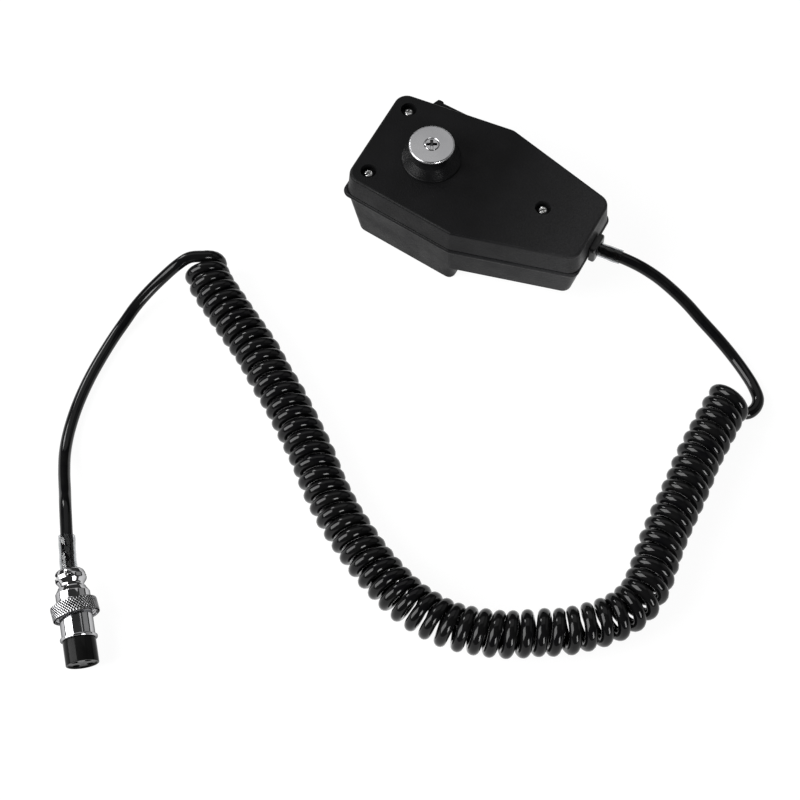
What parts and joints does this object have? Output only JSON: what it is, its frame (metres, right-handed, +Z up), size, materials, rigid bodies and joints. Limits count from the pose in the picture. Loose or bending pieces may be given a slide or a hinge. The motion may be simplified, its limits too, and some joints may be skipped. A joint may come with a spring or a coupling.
{
  "type": "hand microphone",
  "caption": "Hand-held push-to-talk microphone in a two-part black housing with a hang button on its back, on a curly cord that ends in a screw-ring round plug.",
  "frame": {"origin": "centre of the housing's footprint on the surface that its front face lies on", "axes": "+X along the housing from the wide capsule end to the cord end, +Y towards the side with the talk lever, +Z up out of the back cover with the hang button; the speaking face looks along -Z"},
  "size_m": [0.236, 0.2648, 0.044],
  "materials": {
    "shell_plastic": "fine moulded grain, satin",
    "lever_plastic": "smooth satin",
    "button_base": "turned rings, satin",
    "chrome": "bright plated",
    "knurled_chrome": "plated over a diagonal knurl",
    "plated_screw": "zinc plated",
    "spring_steel": "drawn wire",
    "switch_plastic": "moulded",
    "plunger_plastic": "moulded",
    "tinned_brass": "tinned",
    "board": "phenolic laminate",
    "resistor": "lacquered",
    "capacitor": "dipped ceramic",
    "dust_cloth": "fine woven cloth",
    "soft_rubber": "moulded",
    "capsule_metal": "satin",
    "magnet": "ground ferrite",
    "pole_steel": "turned",
    "copper_wire": "enamelled winding",
    "film": "thin film",
    "foam": "open-cell foam",
    "lead_insulation": "insulated wire",
    "wire_insulation": "insulated wire",
    "sleeve": "clear shrink sleeve over black cord",
    "cord_jacket": "glossy flexible jacket",
    "insert_plastic": "moulded",
    "contact_metal": "silver-plated brass"
  },
  "bodies": {
    "microphone": {"back_shell": "shell_plastic", "front_shell": "shell_plastic", "shell_screws": "plated_screw", "hang_disc": "chrome", "hang_base": "button_base", "hang_screw": "plated_screw", "hang_nut": "plated_screw", "hang_lock_washer": "plated_screw", "ptt_pivot_pin": "plated_screw", "ptt_return_spring": "spring_steel", "switch_body": "switch_plastic", "switch_terminals": "tinned_brass", "circuit_board": "board", "board_screws": "plated_screw", "load_resistor": "resistor", "bypass_capacitor": "capacitor", "dust_screen": "dust_cloth", "capsule_gasket": "soft_rubber", "capsule_cover": "capsule_metal", "capsule_case": "capsule_metal", "capsule_magnet": "magnet", "capsule_pole": "pole_steel", "voice_coil": "copper_wire", "diaphragm": "film", "capsule_pad": "foam", "capsule_leads": "lead_insulation", "cord_wires": "wire_insulation", "cord_clamp": "plated_screw", "cord_clamp_screws": "plated_screw", "strain_relief": "soft_rubber", "mic_end_sleeve": "sleeve", "mic_lead": "cord_jacket", "coiled_cord": "cord_jacket", "plug_lead": "cord_jacket", "plug_end_sleeve": "sleeve", "plug_rear_body": "chrome", "plug_clamp": "chrome", "plug_clamp_screws": "plated_screw", "plug_barrel": "chrome", "insert_screw": "plated_screw", "plug_insert": "insert_plastic", "socket_contacts": "contact_metal"},
    "talk_lever": {"ptt_lever": "lever_plastic"},
    "plunger": {"switch_plunger": "plunger_plastic"},
    "ring": {"coupling_ring": "knurled_chrome"}
  },
  "joints": [
    {"name": "ptt_press", "type": "hinge", "parent": "microphone", "child": "talk_lever", "pos_m": [-0.007, 0.0208, 0.024], "axis": [0, 0, 1], "range_deg": [0, 5.5], "stiffness_Nm_per_rad": 0.4, "springref_deg": -4.58, "deforming": ["ptt_return_spring"]},
    {"name": "switch_travel", "type": "slide", "parent": "microphone", "child": "plunger", "axis": [0, -1, 0], "range_m": [0, 0.00096]},
    {"name": "ring_spin", "type": "hinge", "parent": "microphone", "child": "ring", "pos_m": [-0.05096, -0.21661, 0.00948], "axis": [0.6232, -0.7696, -0.1392], "continuous": true}
  ],
  "couplings": [
    {"joint": "switch_travel", "follows": "ptt_press", "m_per_rad": 0.0098}
  ]
}
